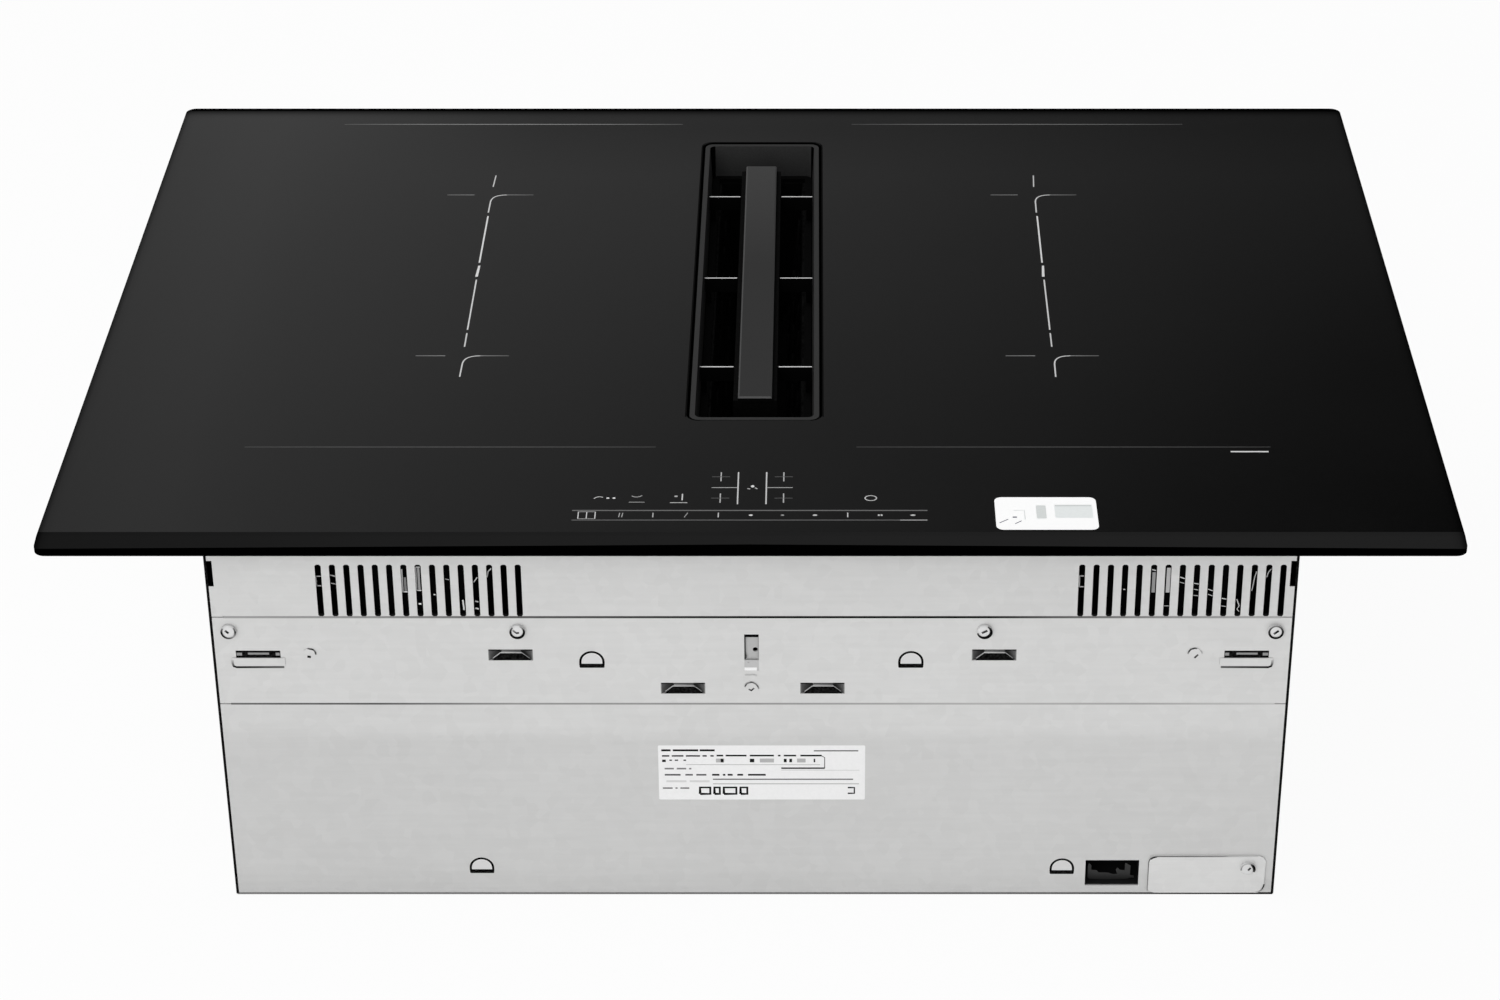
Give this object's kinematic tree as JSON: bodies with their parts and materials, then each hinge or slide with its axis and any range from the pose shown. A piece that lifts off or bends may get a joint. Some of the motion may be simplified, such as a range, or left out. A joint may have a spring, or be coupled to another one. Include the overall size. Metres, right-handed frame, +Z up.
{
  "type": "downdraft induction cooktop",
  "caption": "Built-in induction cooktop with a black glass top, a central downdraft inlet with a lift-off bar grille, and a sheet-metal case that holds the blower and coils.",
  "frame": {"origin": "middle of the glass in plan, on the plane that the case stands on", "axes": "+X to the user's right, +Y to the back, +Z up; the glass top is at z = 0.228"},
  "size_m": [0.71, 0.522, 0.228],
  "materials": {
    "glass": "polished black glass ceramic, opaque",
    "rubber": "matt black foam and silicone",
    "black_plastic": "matt black moulding",
    "grey_plastic": "mid grey moulding",
    "clear_plastic": "milky smooth moulding",
    "bar_metal": "fine matt dark grey coat",
    "rib_metal": "bare edges",
    "mesh_metal": "expanded grease filter metal",
    "galvanised": "light grey zinc coated sheet",
    "screw_steel": "zinc plated steel",
    "cast_aluminium": "plain aluminium",
    "stator_steel": "laminated core with windings",
    "circuit_board": "green lacquered board",
    "components": "sleeved capacitors and relays",
    "carrier_plastic": "heat resistant moulding",
    "litz_copper": "lacquered copper litz",
    "ferrite": "dark sintered ferrite",
    "mica": "pressed mica sheet",
    "sensor_rubber": "silicone sleeve"
  },
  "bodies": {
    "case": {"air_shaft": "black_plastic", "blower_cover": "grey_plastic", "blower_housing": "grey_plastic", "board_components": "components", "bottom_plate": "galvanised", "cable_grommet": "rubber", "case_screws": "screw_steel", "coil_carrier_front_left": "carrier_plastic", "coil_carrier_front_right": "carrier_plastic", "coil_carrier_rear_left": "carrier_plastic", "coil_carrier_rear_right": "carrier_plastic", "coil_decks": "cast_aluminium", "coil_ferrites": "ferrite", "coil_winding_front_left": "litz_copper", "coil_winding_front_right": "litz_copper", "coil_winding_rear_left": "litz_copper", "coil_winding_rear_right": "litz_copper", "container_seal": "rubber", "electronics_tray": "galvanised", "fan_drive_unit": "grey_plastic", "fan_housing_left": "black_plastic", "fan_housing_right": "black_plastic", "glass_bond": "rubber", "glass_plate": "glass", "heat_sink_left": "cast_aluminium", "heat_sink_right": "cast_aluminium", "inlet_frame": "black_plastic", "intake_hood": "grey_plastic", "lower_front_panel": "galvanised", "mica_sheets": "mica", "motor_bearings": "screw_steel", "motor_mount": "cast_aluminium", "motor_stator": "stator_steel", "outlet_collar": "black_plastic", "power_board_left": "circuit_board", "power_board_right": "circuit_board", "rear_panel": "galvanised", "service_socket": "black_plastic", "side_panel_left": "galvanised", "side_panel_right": "galvanised", "terminal_block": "black_plastic", "terminal_cover": "galvanised", "touch_board": "circuit_board", "touch_carrier": "black_plastic", "upper_front_panel": "galvanised", "worktop_seal": "rubber", "zone_sensors": "sensor_rubber"},
    "grille": {"grille_bar": "bar_metal", "grille_keel": "black_plastic", "grille_ribs": "rib_metal"},
    "cartridge": {"cartridge_frame": "black_plastic", "grease_mesh_left": "mesh_metal", "grease_mesh_right": "mesh_metal"},
    "blower_wheel": {"impeller": "black_plastic", "rotor_cup": "screw_steel", "motor_shaft": "screw_steel"},
    "left_fan_wheel": {"fan_rotor_left": "black_plastic"},
    "right_fan_wheel": {"fan_rotor_right": "black_plastic"},
    "container": {"overflow_container": "clear_plastic"}
  },
  "joints": [
    {"name": "cartridge_lift", "type": "slide", "parent": "case", "child": "cartridge", "axis": [0, 0, 1], "range_m": [0, 0.13]},
    {"name": "grille_lift", "type": "slide", "parent": "cartridge", "child": "grille", "axis": [0, 0, 1], "range_m": [0, 0.06]},
    {"name": "blower_spin", "type": "hinge", "parent": "case", "child": "blower_wheel", "pos_m": [-0.146, -0.062, 0.02], "axis": [0, 0, 1], "continuous": true},
    {"name": "left_fan_spin", "type": "hinge", "parent": "case", "child": "left_fan_wheel", "pos_m": [-0.1677, -0.196, 0.18], "axis": [0, 0, 1], "continuous": true},
    {"name": "right_fan_spin", "type": "hinge", "parent": "case", "child": "right_fan_wheel", "pos_m": [0.21675, -0.196, 0.18], "axis": [0, 0, 1], "continuous": true},
    {"name": "container_twist", "type": "hinge", "parent": "case", "child": "container", "pos_m": [0, 0.04, 0.02], "axis": [0, 0, 1], "range_deg": [0, 50]}
  ]
}
